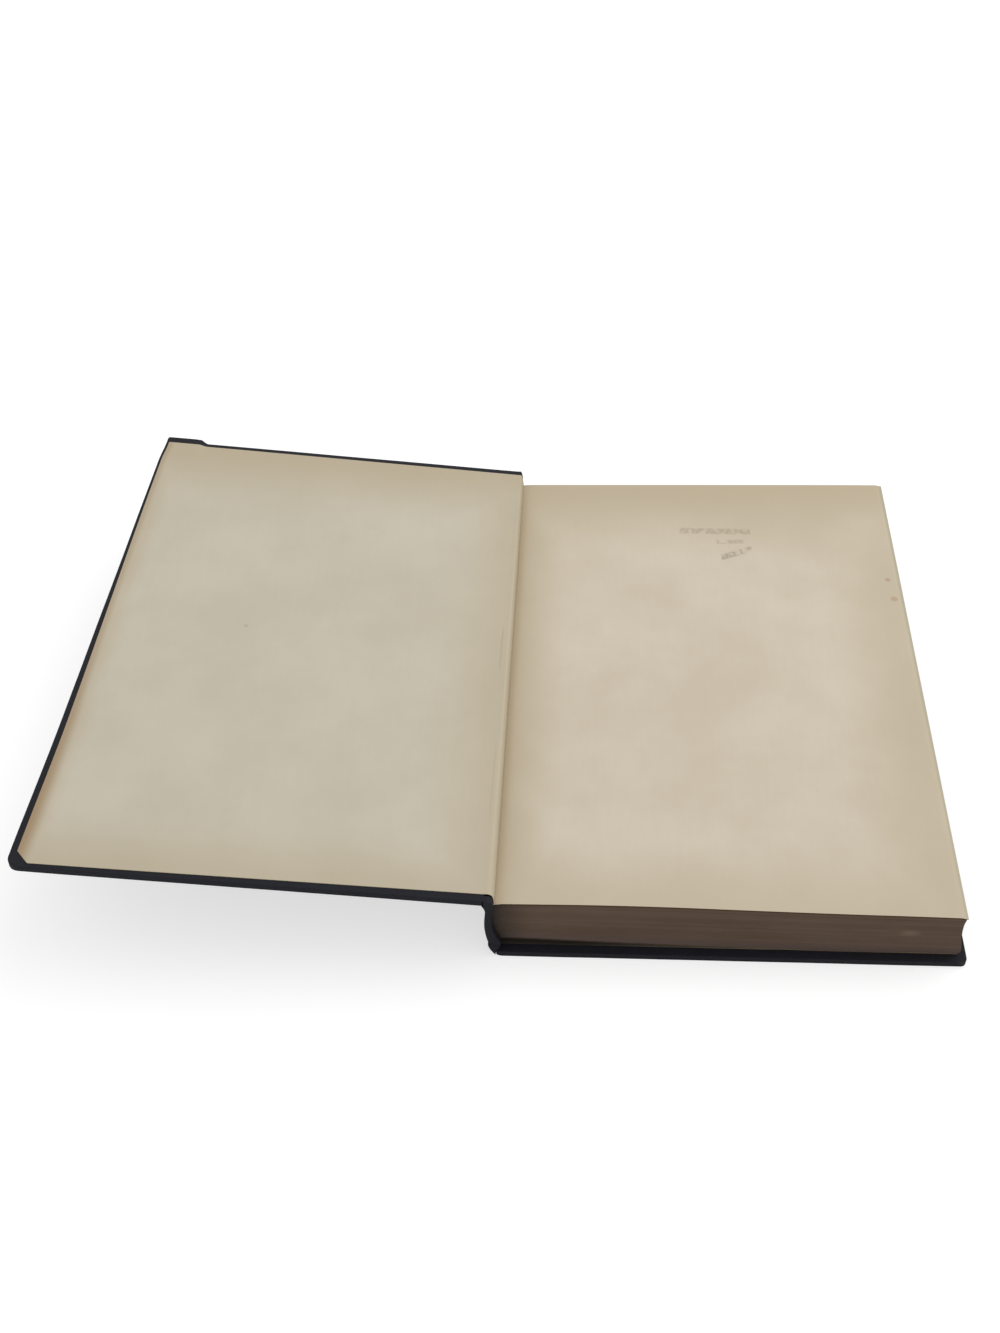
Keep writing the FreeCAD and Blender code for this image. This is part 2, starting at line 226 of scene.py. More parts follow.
class Recipe:  # one material's nodes
    def __init__(self, name, roughness, specular):
        self.material = bpy.data.materials.new(name)
        self.material.use_nodes = True
        self.tree = self.material.node_tree
        self.shader = self.tree.nodes["Principled BSDF"]
        self.shader.inputs["Roughness"].default_value = roughness
        self.shader.inputs["Specular IOR Level"].default_value = specular

    def add(self, kind, settings=None, **inputs):
        node = self.tree.nodes.new("ShaderNode" + kind)
        for name, value in (settings or {}).items():
            setattr(node, name, value)
        for name, value in inputs.items():
            self.feed(node.inputs[int(name[1:]) if name[1:].isdigit() else name.replace("_", " ")], value)
        return node

    def feed(self, socket, value):
        if isinstance(value, bpy.types.NodeSocket):
            self.tree.links.new(value, socket)
        else:
            socket.default_value = value

    def maths(self, operation, a, b=0.0, c=0.0):
        return self.add("Math", {"operation": operation}, i0=a, i1=b, i2=c).outputs[0]

    def plus(self, a, b):
        return self.maths("ADD", a, b)

    def minus(self, a, b):
        return self.maths("SUBTRACT", a, b)

    def times(self, a, b):
        return self.maths("MULTIPLY", a, b)

    def apart(self, a, b):  # how far two values lie from each other
        return self.maths("ABSOLUTE", self.minus(a, b))

    def band(self, value, start, end, low=0.0, high=1.0):  # eases from low to high between two values
        settings = {"interpolation_type": "SMOOTHSTEP"}
        return self.add("MapRange", settings, i0=value, i1=start, i2=end, i3=low, i4=high).outputs[0]

    def mix(self, share, a, b, blend="MIX"):
        node = self.add("MixRGB", {"blend_type": blend}, i0=share, i1=a, i2=b)
        return node.outputs[0]

    def plan(self, name):  # a UV map in metres, as separate numbers
        uv = self.add("UVMap", {"uv_map": name}).outputs[0]
        parts = self.add("SeparateXYZ", i0=uv)
        return uv, parts.outputs[0], parts.outputs[1]

    def place(self):  # the piece's own coordinates in metres
        place = self.add("TexCoord").outputs["Object"]
        parts = self.add("SeparateXYZ", i0=place)
        return place, parts.outputs[0], parts.outputs[1], parts.outputs[2]

    def noise(self, vector, size, detail=2.0, roughness=0.5, stretch=(1, 1, 1)):  # size of a blot in mm
        scaled = self.add("Mapping", i0=vector, i3=stretch).outputs[0]
        node = self.add("TexNoise", Vector=scaled, Scale=1 / (size * mm), Detail=detail, Roughness=roughness)
        return node.outputs["Fac"]

    def bump(self, heights):  # pairs of a height and how far it stands out in mm
        normal = None
        for height, distance in heights:
            node = self.add("Bump", Height=height, Distance=distance * mm, Strength=1.0)
            if normal:
                self.feed(node.inputs["Normal"], normal)
            normal = node.outputs[0]
        self.feed(self.shader.inputs["Normal"], normal)

    def finish(self, colour):
        self.feed(self.shader.inputs["Base Color"], colour)
        return self.material


# papers

def simpleMatter(name, first, second, size, stretch=(1, 1, 1), bumpHeight=0.05):  # hidden inner pieces
    matter = Recipe(name, roughness=0.9, specular=0.1)
    place = matter.place()[0]
    grain = matter.noise(place, size, detail=4, roughness=0.65, stretch=stretch)
    colour = matter.mix(matter.band(grain, 0.3, 0.7), photoColour(*first), photoColour(*second))
    matter.bump([(grain, bumpHeight)])
    return matter.finish(colour)


def edgeToning(paper, across, along, look, wander):  # 0 in the middle, 1 at the edges
    share = 0.0
    for side, (edge, sign, value) in {
        "left": (look["left"], 1, across), "right": (look["right"], -1, across),
        "tail": (-pageHalf, 1, along), "head": (pageHalf, -1, along),
    }.items():
        width, strength = look["reach"][side]
        distance = paper.plus(paper.times(paper.minus(value, edge * mm), sign), wander)
        tone = paper.band(distance, 0.0, width * mm, strength, 0.0)
        share = paper.maths("MAXIMUM", share, tone)
    return share


def addStainAndCurlShade(paper, colour, across, along, wander, line):  # a line beside one edge: on the pastedown a stain of glue or damp, on the flyleaf painted shade where its fore edge curls down
    full = line["width"] * mm
    offset = paper.plus(paper.apart(across, line["across"] * mm), paper.times(wander, line["waver"]))
    width = paper.band(along, line["wideAt"] * mm, line["narrowAt"] * mm, full, line["narrow"] * mm)
    stain = paper.band(paper.maths("DIVIDE", offset, width), 0.0, 1.0, line["strength"], 0.0)
    stain = paper.times(stain, paper.maths("DIVIDE", width, full))
    return paper.mix(stain, colour, photoColour(*line["colour"]))


def addFoxing(paper, colour, plan, look):  # small rusty spots, few and far between
    spots = paper.add("TexVoronoi", Vector=plan, Scale=1 / (look["spotApart"] * mm))
    chance = paper.add("SeparateXYZ", i0=spots.outputs["Color"]).outputs[0]
    picked = paper.band(chance, 1 - look["spotShare"], 1 - look["spotShare"] * 0.8)
    spot = paper.band(spots.outputs["Distance"], 0.02, look["spotReach"], 1.0, 0.0)
    spot = paper.times(paper.times(spot, picked), look["spotStrength"])
    return paper.mix(spot, colour, photoColour(*look["spotColour"]))


def addSmudges(paper, colour, plan, look):  # grey and rubbed
    smudge = paper.noise(plan, look["smudgeSize"], detail=5, roughness=0.65)
    smudge = paper.band(smudge, 0.6, 0.78, 0.0, look["smudge"])
    return paper.mix(smudge, colour, photoColour(*look["smudgeColour"]))


def addLines(paper, colour, across, along, wander, marks):  # lines along the sheet: worn or scratched, and on the flyleaf painted shade in the gutter
    for mark in marks:
        half = mark["half"] * mm
        aside = paper.minus(across, mark["across"] * mm)
        aside = paper.maths("ABSOLUTE", paper.plus(aside, paper.times(wander, mark["waver"])))
        ends = paper.band(paper.apart(along, mark["along"] * mm), half * 0.6, half, 1.0, 0.0)
        share = paper.times(paper.band(aside, 0.0, mark["width"] * mm, mark["strength"], 0.0), ends)
        colour = paper.mix(share, colour, photoColour(*mark["colour"]))
    return colour


def addScribbles(paper, colour, plan, across, along, look):  # pencil strokes that read as nothing
    pressure = paper.band(paper.noise(plan, 1.1, detail=3), 0.3, 0.55, 0.35, 1.0)
    for mark in look["scribbles"]:
        half, swing = mark["half"] * mm, mark["swing"] * mm
        aside = paper.minus(across, mark["across"] * mm)
        level = paper.apart(paper.minus(along, paper.times(aside, mark["slope"])), mark["along"] * mm)
        loops = paper.apart(paper.noise(plan, mark["loop"], detail=1, stretch=(1, 0.6, 1)), 0.5)
        share = paper.band(loops, 0.02, 0.22, mark["strength"], 0.0)
        share = paper.times(share, paper.band(level, swing * 0.4, swing, 1.0, 0.0))
        share = paper.times(share, paper.band(paper.maths("ABSOLUTE", aside), half - mm, half, 1.0, 0.0))
        colour = paper.mix(paper.times(share, pressure), colour, photoColour(*look["pencil"]))
    return colour


def addRust(paper, colour, plan, wander, look):  # single rusty spots
    for mark in look["rust"]:
        centre = [value * mm for value in mark["at"]] + [0]
        away = paper.add("VectorMath", {"operation": "DISTANCE"}, i0=plan, i1=centre).outputs["Value"]
        ragged = paper.plus(away, paper.times(wander, 0.25))
        share = paper.band(ragged, mark["size"] * 0.3 * mm, mark["size"] * mm, mark["strength"], 0.0)
        colour = paper.mix(share, colour, photoColour(*look["spotColour"]))
    return colour


def agedPaper(name, look):
    paper = Recipe(name, roughness=0.82, specular=0.18)
    plan, across, along = paper.plan("plan")
    blotches = paper.noise(plan, look["blotchSize"], detail=3)
    cloud = paper.noise(plan, look["cloudSize"], detail=4, roughness=0.6)
    wander = paper.times(paper.minus(blotches, 0.5), look["wander"] * mm)
    centre, clouded = photoColour(*look["centre"]), photoColour(*look["clouded"])
    colour = paper.mix(paper.band(cloud, 0.3, 0.7), centre, clouded)
    toning = edgeToning(paper, across, along, look, wander)
    colour = paper.mix(toning, colour, photoColour(*look["toned"]))
    colour = addStainAndCurlShade(paper, colour, across, along, wander, look["stain"])
    colour = addFoxing(paper, colour, plan, look)
    colour = addSmudges(paper, colour, plan, look)
    colour = addLines(paper, colour, across, along, wander, look["lines"])
    colour = addScribbles(paper, colour, plan, across, along, look)
    colour = addRust(paper, colour, plan, wander, look)
    # paper fibres and the faint lines of its making
    fibre = paper.noise(plan, 0.35, detail=3, roughness=0.7)
    laid = paper.noise(plan, 1.6, detail=2, stretch=(1, 0.12, 1))
    grain = paper.plus(paper.times(fibre, 0.6), paper.times(laid, 0.4))
    colour = paper.mix(paper.band(grain, 0.35, 0.65, 0.0, 0.07), colour, photoColour(*look["fibreColour"]))
    paper.bump([(fibre, 0.02), (laid, 0.03), (cloud, look["cockle"])])
    return paper.finish(colour)


pastedownLook = {
    "left": -153.3, "right": -1.0,
    "centre": (202, 194, 176), "clouded": (195, 187, 168), "toned": (182, 167, 140),
    "blotchSize": 26, "cloudSize": 45, "wander": 7, "cockle": 0.15,
    "reach": {"left": (9, 0.5), "right": (34, 0.6), "tail": (22, 0.5), "head": (38, 0.75)},
    "stain": {"across": -153.4, "width": 4.8, "wideAt": -95.0, "narrow": 2.2, "narrowAt": 20.0,
              "waver": 0.1, "strength": 0.85, "colour": (158, 132, 100)},
    "lines": (
        {"across": -5.8, "along": 0.0, "half": 130, "width": 0.7, "waver": 0.03,
         "strength": 0.3, "colour": (204, 190, 162)},
        {"across": -8.6, "along": 3.0, "half": 13, "width": 0.6, "waver": 0.1,
         "strength": 0.4, "colour": (166, 150, 124)},
        {"across": -7.6, "along": -62.0, "half": 20, "width": 0.5, "waver": 0.1,
         "strength": 0.25, "colour": (168, 152, 126)},
    ),
    "scribbles": (), "pencil": (150, 142, 130), "rust": (),
    "spotApart": 17, "spotShare": 0.05, "spotReach": 0.07, "spotStrength": 0.3, "spotColour": (160, 128, 90),
    "smudgeSize": 34, "smudge": 0.14, "smudgeColour": (166, 160, 142), "fibreColour": (180, 168, 144),
}
flyleafLook = {
    "left": -1.0, "right": 146.0,
    "centre": (210, 200, 181), "clouded": (203, 191, 171), "toned": (188, 173, 147),
    "blotchSize": 30, "cloudSize": 50, "wander": 9, "cockle": 0.12,
    "reach": {"left": (22, 0.85), "right": (34, 0.55), "tail": (30, 0.5), "head": (52, 0.9)},
    # the flyleaf's line is painted shade: greyish along the fore edge, where the sheet curls down
    "stain": {"across": 146.0, "width": 1.5, "wideAt": 120.0, "narrow": 0.9, "narrowAt": -120.0,
              "waver": 0.05, "strength": 0.7, "colour": (168, 164, 142)},
    "lines": (
        # painted shade in the valley beside the gutter crease
        {"across": 1.2, "along": 0.0, "half": 130, "width": 2.8, "waver": 0.03,
         "strength": 0.3, "colour": (164, 148, 112)},
    ),
    "scribbles": (
        {"across": 77.0, "along": 77.5, "half": 14.5, "loop": 3.4, "swing": 2.4, "slope": -0.02,
         "strength": 0.45},
        {"across": 83.5, "along": 71.0, "half": 6.5, "loop": 3.4, "swing": 1.7, "slope": 0.04,
         "strength": 0.4},
        {"across": 85.0, "along": 64.0, "half": 6.5, "loop": 3.4, "swing": 2.4, "slope": 0.45,
         "strength": 0.6},
    ),
    "pencil": (142, 130, 114),
    "rust": (
        {"at": (141.6, 49), "size": 1.1, "strength": 0.5},
        {"at": (142.6, 38), "size": 1.5, "strength": 0.45},
    ),
    "spotApart": 15, "spotShare": 0.04, "spotReach": 0.06, "spotStrength": 0.3, "spotColour": (166, 130, 94),
    "smudgeSize": 40, "smudge": 0.08, "smudgeColour": (174, 164, 146), "fibreColour": (184, 171, 148),
}
# the sheet's cut edge: its own brown tone, darkened further as painted shade under the overhanging leaf
leafRimWithShade = simpleMatter("leafRimWithShade", (92, 72, 54), (74, 56, 42), 3, bumpHeight=0.02)
pastedownPaper = agedPaper("pastedownPaper", pastedownLook)
flyleafPaper = agedPaper("flyleafPaper", flyleafLook)


backPaperLook = {
    "fresh": (204, 193, 170), "toned": (180, 162, 128), "reach": 24, "spotColour": (150, 116, 76),
    "edge": (84, 70, 58),        # the leaf's own cut edge
    "shadedWedge": (46, 42, 41),     # painted shade of the wedge under the lifted pages, with some dust, near the spine, towards head and tail
}


def plainOldPaper(name, look):  # endpapers at the back, on the pieces' own coordinates
    paper = Recipe(name, roughness=0.85, specular=0.15)
    place, across, along, height = paper.place()
    cloud = paper.noise(place, 40, detail=4, roughness=0.6)
    fromMiddle = paper.maths("ABSOLUTE", along)
    ends = paper.band(fromMiddle, (pageHalf - look["reach"]) * mm, pageHalf * mm)
    gutter = paper.band(across, foldAcross * mm, (foldAcross + look["reach"]) * mm, 1.0, 0.0)
    fore = paper.band(across, (foreEdge - look["reach"]) * mm, foreEdge * mm)
    toning = paper.maths("MAXIMUM", ends, paper.maths("MAXIMUM", gutter, fore))
    toning = paper.times(toning, paper.band(cloud, 0.25, 0.75, 0.5, 0.95))
    colour = paper.mix(toning, photoColour(*look["fresh"]), photoColour(*look["toned"]))
    spots = paper.band(paper.noise(place, 7, detail=4, roughness=0.7), 0.68, 0.8, 0.0, 0.35)
    colour = paper.mix(spots, colour, photoColour(*look["spotColour"]))
    # painted shade, with some dust: near the spine the back endpaper darkens towards head and tail, where
    # the lifted pages shade it
    wedgeShade = paper.band(fromMiddle, (pageHalf - 9) * mm, (pageHalf - 3) * mm, 0.0, 0.95)
    nearSpine = paper.band(across, (foldAcross + 20) * mm, (foldAcross + 100) * mm, 1.0, 0.4)
    colour = paper.mix(paper.times(wedgeShade, nearSpine), colour, photoColour(*look["shadedWedge"]))
    rim = paper.band(fromMiddle, (pageHalf - 0.15) * mm, (pageHalf - 0.05) * mm)
    colour = paper.mix(rim, colour, photoColour(*look["edge"]))
    fibre = paper.noise(place, 0.35, detail=3, roughness=0.7)
    paper.bump([(fibre, 0.02), (cloud, 0.1)])
    return paper.finish(colour)


backPaper = plainOldPaper("backPaper", backPaperLook)


edgeLook = {
    "colour": (101, 85, 72), "dark": (93, 76, 63), "light": (110, 94, 81), "shadeUnderFlyleaf": (78, 57, 40),
    "low": (100, 85, 82), "glued": (58, 52, 48), "leafHeight": 0.16, "gather": 2.4,
    "mark": {"at": (55.6, -108, 13.2), "squeeze": (0.45, 1, 1), "size": 2.0, "strength": 0.2,
             "colour": (170, 150, 126)},
}


def leafEdges(name, look):  # the browned edges of the leaves, lined where leaf lies on leaf
    edges = Recipe(name, roughness=0.9, specular=0.1)
    plan, along, height = edges.plan("leaves")
    fine = edges.noise(plan, look["leafHeight"] * 2, detail=2, stretch=(0.004, 1, 1))
    gathers = edges.noise(plan, look["gather"], detail=2, stretch=(0.01, 1, 1))
    dust = edges.noise(plan, 16, detail=5, roughness=0.62, stretch=(0.5, 1, 1))
    colour = edges.mix(edges.band(dust, 0.3, 0.72), photoColour(*look["colour"]), photoColour(*look["dark"]))
    colour = edges.mix(edges.band(gathers, 0.42, 0.66, 0.0, 0.4), colour, photoColour(*look["light"]))
    colour = edges.mix(edges.band(fine, 0.46, 0.6, 0.0, 0.35), colour, photoColour(*look["dark"]))
    colour = edges.mix(edges.band(height, 1.0 * mm, 5.0 * mm, 0.6, 0.0), colour, photoColour(*look["low"]))
    # painted shadow: the top of the leaves' edges is darkened where the flyleaf overhangs them
    colour = edges.mix(edges.band(height, 18.4 * mm, 19.2 * mm), colour, photoColour(*look["shadeUnderFlyleaf"]))
    # a pale rubbed mark, and the leaves' ends made darker next to the spine
    place, across = edges.place()[:2]
    mark = look["mark"]
    squeezed = edges.add("VectorMath", {"operation": "MULTIPLY"}, i0=place, i1=mark["squeeze"]).outputs[0]
    centre = [value * mm * share for value, share in zip(mark["at"], mark["squeeze"])]
    away = edges.add("VectorMath", {"operation": "DISTANCE"}, i0=squeezed, i1=centre).outputs["Value"]
    away = edges.plus(away, edges.times(edges.minus(dust, 0.5), 4 * mm))
    rubbed = edges.band(away, 0.0, mark["size"] * mm, mark["strength"], 0.0)
    colour = edges.mix(rubbed, colour, photoColour(*mark["colour"]))
    glued = edges.band(across, (foldAcross - 2) * mm, (foldAcross + 13) * mm, 0.8, 0.0)
    colour = edges.mix(glued, colour, photoColour(*look["glued"]))
    edges.bump([(fine, 0.05), (gathers, 0.12)])
    return edges.finish(colour)


pageEdges = leafEdges("pageEdges", edgeLook)


clothLook = {
    "colour": (22, 23, 30), "thread": (32, 33, 43), "rubbed": (78, 72, 66), "bare": (150, 138, 120),
    "speck": (205, 200, 190), "speckApart": 9, "threadApart": 0.42, "weave": 0.05,
}


def bookCloth(name, look):  # dark woven cloth, its threads rubbed paler where an attribute says so
    cloth = Recipe(name, roughness=0.66, specular=0.26)
    place, across, along, height = cloth.place()
    step = 2 * math.pi / (look["threadApart"] * mm)
    warp = cloth.maths("SINE", cloth.times(cloth.plus(across, height), step))
    weft = cloth.maths("SINE", cloth.times(along, step))
    threads = cloth.times(warp, weft)
    slub = cloth.noise(place, 0.9, detail=2, stretch=(1, 0.15, 1))
    thread = photoColour(*look["thread"])
    colour = cloth.mix(cloth.band(threads, -0.5, 0.9, 0.0, 0.55), photoColour(*look["colour"]), thread)
    patches = cloth.noise(place, 5, detail=5, roughness=0.7)
    colour = cloth.mix(cloth.band(patches, 0.4, 0.75, 0.0, 0.35), colour, thread)
    worn = cloth.add("Attribute", {"attribute_name": "rub"}).outputs["Fac"]
    rub = cloth.plus(worn, cloth.times(cloth.minus(patches, 0.5), 0.9))
    colour = cloth.mix(cloth.band(rub, 0.35, 0.85, 0.0, 0.8), colour, photoColour(*look["rubbed"]))
    colour = cloth.mix(cloth.band(rub, 0.95, 1.15, 0.0, 0.8), colour, photoColour(*look["bare"]))
    specks = cloth.add("TexVoronoi", Vector=place, Scale=1 / (look["speckApart"] * mm))
    chance = cloth.add("SeparateXYZ", i0=specks.outputs["Color"]).outputs[0]
    speck = cloth.band(specks.outputs["Distance"], 0.02, 0.05, 0.8, 0.0)
    speck = cloth.times(speck, cloth.band(chance, 0.93, 0.94))
    colour = cloth.mix(speck, colour, photoColour(*look["speck"]))
    cloth.bump([(threads, look["weave"]), (slub, 0.06)])
    return cloth.finish(colour)


coverCloth = bookCloth("coverCloth", clothLook)


greyBoard = simpleMatter("greyBoard", (148, 141, 126), (120, 112, 98), 1.2)
gauze = simpleMatter("gauze", (206, 198, 176), (164, 152, 124), 0.8, (1, 0.5, 1))
kraftPaper = simpleMatter("kraftPaper", (160, 128, 88), (134, 104, 70), 1.5, (1, 0.3, 1))
print("materials made")


# the pages

pagesShape = {
    "underside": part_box("text_block")[0].z / mm,
    "depth": 19.4,       # thickness of all the pages
    # the flyleaf's upper side at both ends of the book: how far from the fold, how high
    "tailTop": ((0, 24.15), (12, 24.3), (26, 24.5), (40, 24.5), (58, 24.2), (76, 23.6), (95, 23.0),
                (113, 22.55), (131, 22.2), (146, 21.8)),
    "headTop": ((0, 23.5), (26, 23.45), (52, 23.4), (93, 23.3), (134, 23.15), (146, 23.0)),
    "flyleaf": 0.24,     # the flyleaf and the air beneath it
    "gutterDip": 0.35,   # the first leaves dip into the gutter
    "dipReach": 1.6,
    "foreCurl": 0.45,    # the first leaves curl down at their fore edge
    "curlReach": 2.2,
    "headShift": 1.6,    # at the head the first leaves reach this much further towards the spine
    "shiftReach": 30.0,
    "gutterFade": 12.0,  # how fast that fades in what rises from the gutter
    "spineLift": 3.5,    # the open cover draws the spine side up
    "liftReach": 110.0,
    "liftPower": 1.35,
    "footReach": 1.3,
    "spineSwell": 2.1,
    # how far the fore edge stands off the flyleaf's, by the share of the pages' depth
    "foreProfile": ((0, 0.2), (0.05, 0.8), (0.16, 0.8), (0.4, 0.1), (0.7, -0.3), (0.86, -0.3), (1, 0.1)),
    "leafRows": 120,
    "columns": 40,
    "gathering": 12,     # rows of leaves that are folded and sewn as one
    "raggedness": 0.08,  # how unevenly the leaves are trimmed
    "foreWaves": 0.1,
    "endWaves": 0.12,
    "seed": 7,
}
pageWidth = foreEdge - foldAcross


def headShare(along):  # 0 at the pages' tail, 1 at their head
    return (along / pageHalf + 1) / 2


def pagesTop(across, along):  # across is measured from the fold here
    shape = pagesShape
    top = mixed(curveAt(shape["tailTop"], across), curveAt(shape["headTop"], across), headShare(along))
    top -= shape["foreCurl"] * ease((across - pageWidth + shape["curlReach"]) / shape["curlReach"])
    return top - shape["flyleaf"] - shape["gutterDip"] * math.exp(-max(across, 0) / shape["dipReach"])


def headShift(across, along):  # how far a place near the gutter lies further left towards the head
    shape = pagesShape
    return shape["headShift"] * headShare(along) * (1 - ease(across / shape["shiftReach"]))


def gutterShift(across, along):  # the same for what rises from the gutter, left of the fold
    return headShift(max(-pagesShape["gutterFade"] * across, 0), along)


def pagesUnder(across):
    shape = pagesShape
    share = (shape["liftReach"] - across) / (shape["liftReach"] - shape["footReach"])
    return shape["underside"] + shape["spineLift"] * max(share, 0) ** shape["liftPower"]


def unevenTrim():  # how far each row of leaves falls short at tail, head and fore edge
    shape = pagesShape
    draws = random.Random(shape["seed"])
    trim = []
    for row in range(shape["leafRows"] + 1):
        if row % shape["gathering"] == 0:
            together = draws.uniform(-1, 1)
        trim.append([shape["raggedness"] * (together + 0.6 * draws.uniform(-1, 1)) for side in range(3)])
    return trim


def slowWaves(first, second, seed):  # from 0 to 2
    return 1 + noise.noise(Vector((first, second, seed)))


def makePages():
    shape = pagesShape
    clearSelection()
    bpy.ops.mesh.primitive_grid_add(
        x_subdivisions=shape["columns"], y_subdivisions=shape["leafRows"], size=1,
        location=(pageWidth / 2 * mm, -pageHalf * mm, shape["depth"] / 2 * mm), rotation=(math.pi / 2, 0, 0))
    bpy.context.active_object.scale = (pageWidth * mm, shape["depth"] * mm, 1)
    pages = startPiece("pages")
    editPiece(pages)
    bpy.ops.mesh.select_all(action="SELECT")
    bpy.ops.mesh.extrude_region_move(TRANSFORM_OT_translate={"value": (0, 2 * pageHalf * mm, 0)})
    bpy.ops.mesh.select_all(action="SELECT")
    bpy.ops.mesh.normals_make_consistent(inside=False)
    cutAt(pages, 1, evenly(-pageHalf, pageHalf, 12))
    cutAt(pages, 0, [0.6, 1.2, 2.4] + [pageWidth - step for step in (2.2, 1.6, 1.1, 0.6)])
    plan = pages.data.uv_layers.new(name="leaves")
    for loop in pages.data.loops:
        place = pages.data.vertices[loop.vertex_index].co
        plan.data[loop.index].uv = (place.x + place.y, place.z)

    trim = unevenTrim()
    leafStep = shape["depth"] / shape["leafRows"]

    def toSection(place):
        share = place.z / shape["depth"]
        tailTrim, headTrim, foreTrim = trim[round(place.z / leafStep)]
        swell = 4 * share * (1 - share)
        left = shape["footReach"] * (1 - share) - shape["spineSwell"] * swell
        right = pageWidth + curveAt(shape["foreProfile"], share)
        across = mixed(left, right, place.x / pageWidth)
        height = mixed(pagesUnder(max(across, shape["footReach"])), pagesTop(max(across, 0), place.y), share)
        if abs(place.x - pageWidth) < 0.01:
            across -= abs(foreTrim) * 0.7 + shape["foreWaves"] * slowWaves(place.y / 30, share * 6, 0)
        if abs(abs(place.y) - pageHalf) < 0.01:
            inward = abs(tailTrim if place.y < 0 else headTrim)
            inward += shape["endWaves"] * slowWaves(across / 25, share * 5, 3)
            place.y -= math.copysign(inward, place.y)
        across -= headShift(across, place.y) * share ** 2
        return Vector((across + foldAcross, place.y, height))

    moveVertices(pages, toSection)
    pages.data.materials.append(pageEdges)
    smooth(pages, 20)
    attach(pages, "text_block")
    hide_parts("text_block")


makePages()
print("pages made")


# the open front cover, and whatever is laid on it

hinge = [value / mm for value in frame["joints"][0]["pos_m"]]
coverShape = {
    "width": coverFore - foldAcross,
    "board": 2.0,
    "cloth": 0.35,
    "hingeSet": 1.4,       # from the hinge line to the cover's joint edge
    "rise": 5.7,           # degrees that the open cover slopes up
    "twist": 1.2,          # its head is warped up and its tail down by this at the fore edge
    "jointTwist": -0.35,   # and the other way at the joint
    "foreLift": 0.2,
    "tailReach": 0.7,      # its tail's fore corner stands out by this
    "bumpAcross": 19.0,    # size of the bumped head corner, and how far it is pushed each way
    "bumpAlong": 13.0,
    "bumpEase": (5.0, 9.0),
    "bumpLift": 0.6,
    "bumpOut": 1.8,
    "bumpIn": 0.9,
    "waviness": 0.12,
    "waveLength": 28.0,
}
coverDepth = coverShape["board"] + coverShape["cloth"]
# cuts that all layers of a cover share, so that none pokes through another where they bend
bumpCuts = (2, 5, 8, 11, 14, 15, 16, 17, 18, 19, 24)   # from the fore edge
nearCuts = (2, 4, 6, 8, 10, 13, 20)                    # from head and tail
jointCuts = [0.5, 1, 1.5, 2]                           # from the joint


def onFrontCover(place):  # from a cover lying on its outer face, joint edge at 0, to the open front cover
    shape = coverShape
    slope = math.radians(shape["rise"])
    out, along, height = place.x, -place.y, place.z - shape["cloth"]
    out += shape["hingeSet"]
    across = hinge[0] - out * math.cos(slope) + height * math.sin(slope)
    level = hinge[2] + out * math.sin(slope) + height * math.cos(slope)
    return warpFrontCover(Vector((across, along, level)))


def warpFrontCover(place, bumpShare=1.0):
    shape = coverShape
    out = max(hinge[0] - shape["hingeSet"] - place.x, 0)
    share = out / shape["width"]
    twist = shape["twist"] * share + shape["jointTwist"] * max(1 - 1.3 * share, 0)
    place.z += twist * place.y / coverHalf + shape["foreLift"] * share
    place.x -= shape["tailReach"] * share * ease((-place.y - 50) / 60)
    easeAcross, easeAlong = shape["bumpEase"]
    bump = ease((out - shape["width"] + shape["bumpAcross"]) / easeAcross)
    bump *= ease((place.y - coverHalf + shape["bumpAlong"]) / easeAlong)
    place.z += shape["bumpLift"] * bump
    place.x += shape["bumpIn"] * bump
    place.y += shape["bumpOut"] * bump * bumpShare
    return place


def worn(place, seed, strength):  # slow unevenness of an old cover's outline
    across, along = place.x / coverShape["waveLength"], place.y / coverShape["waveLength"]
    aside = noise.noise(Vector((across, along, seed)))
    onwards = noise.noise(Vector((across, along, -seed)))
    return place + Vector((aside, onwards, 0)) * strength * ease(place.x / 20)


def selectFaces(piece, test):  # selects the faces whose middle passes the test, in millimetres
    editPiece(piece)
    bpy.ops.mesh.select_all(action="DESELECT")
    bpy.ops.object.mode_set(mode="OBJECT")
    for face in piece.data.polygons:
        face.select = test(face.center / mm, face.normal)
    bpy.ops.object.mode_set(mode="EDIT")
    bpy.ops.mesh.select_mode(type="FACE")


def selectEdges(piece, test):  # selects the edges whose two ends pass the test
    editPiece(piece)
    bpy.ops.mesh.select_mode(type="EDGE")
    bpy.ops.mesh.select_all(action="DESELECT")
    bpy.ops.object.mode_set(mode="OBJECT")
    for edge in piece.data.edges:
        ends = [piece.data.vertices[number].co / mm for number in edge.vertices]
        edge.select = all(test(end) for end in ends)
    bpy.ops.object.mode_set(mode="EDIT")


def markRub(piece, value):  # value takes a place in millimetres
    rub = piece.data.attributes.new("rub", "FLOAT", "POINT")
    for number, vertex in enumerate(piece.data.vertices):
        rub.data[number].value = value(vertex.co / mm)


clothShape = {
    "turnIn": 14.0,
    "edgeRound": 0.5,
    "jointRound": 0.9,
    "boardTrim": 4.6,      # the front board's tail corner, under the cloth's cut corner
    "cornerRub": 0.45,
    "edgeRub": 0.12,
    "front": {"tailCorner": 3.6, "headCorner": 0.9, "seed": 3},
    "back": {"tailCorner": 1.8, "headCorner": 1.8, "seed": 11},
}


def jointRounding(place):  # the back cover's lower edge is rounded off at the joint
    return clothShape["jointRound"] * max(1 - place.x / 2, 0) ** 2 * max(1 - place.z / 1.6, 0)


def roundedAtJoint(place):
    return place + Vector((0, 0, jointRounding(place - Vector((foldAcross, 0, 0)))))


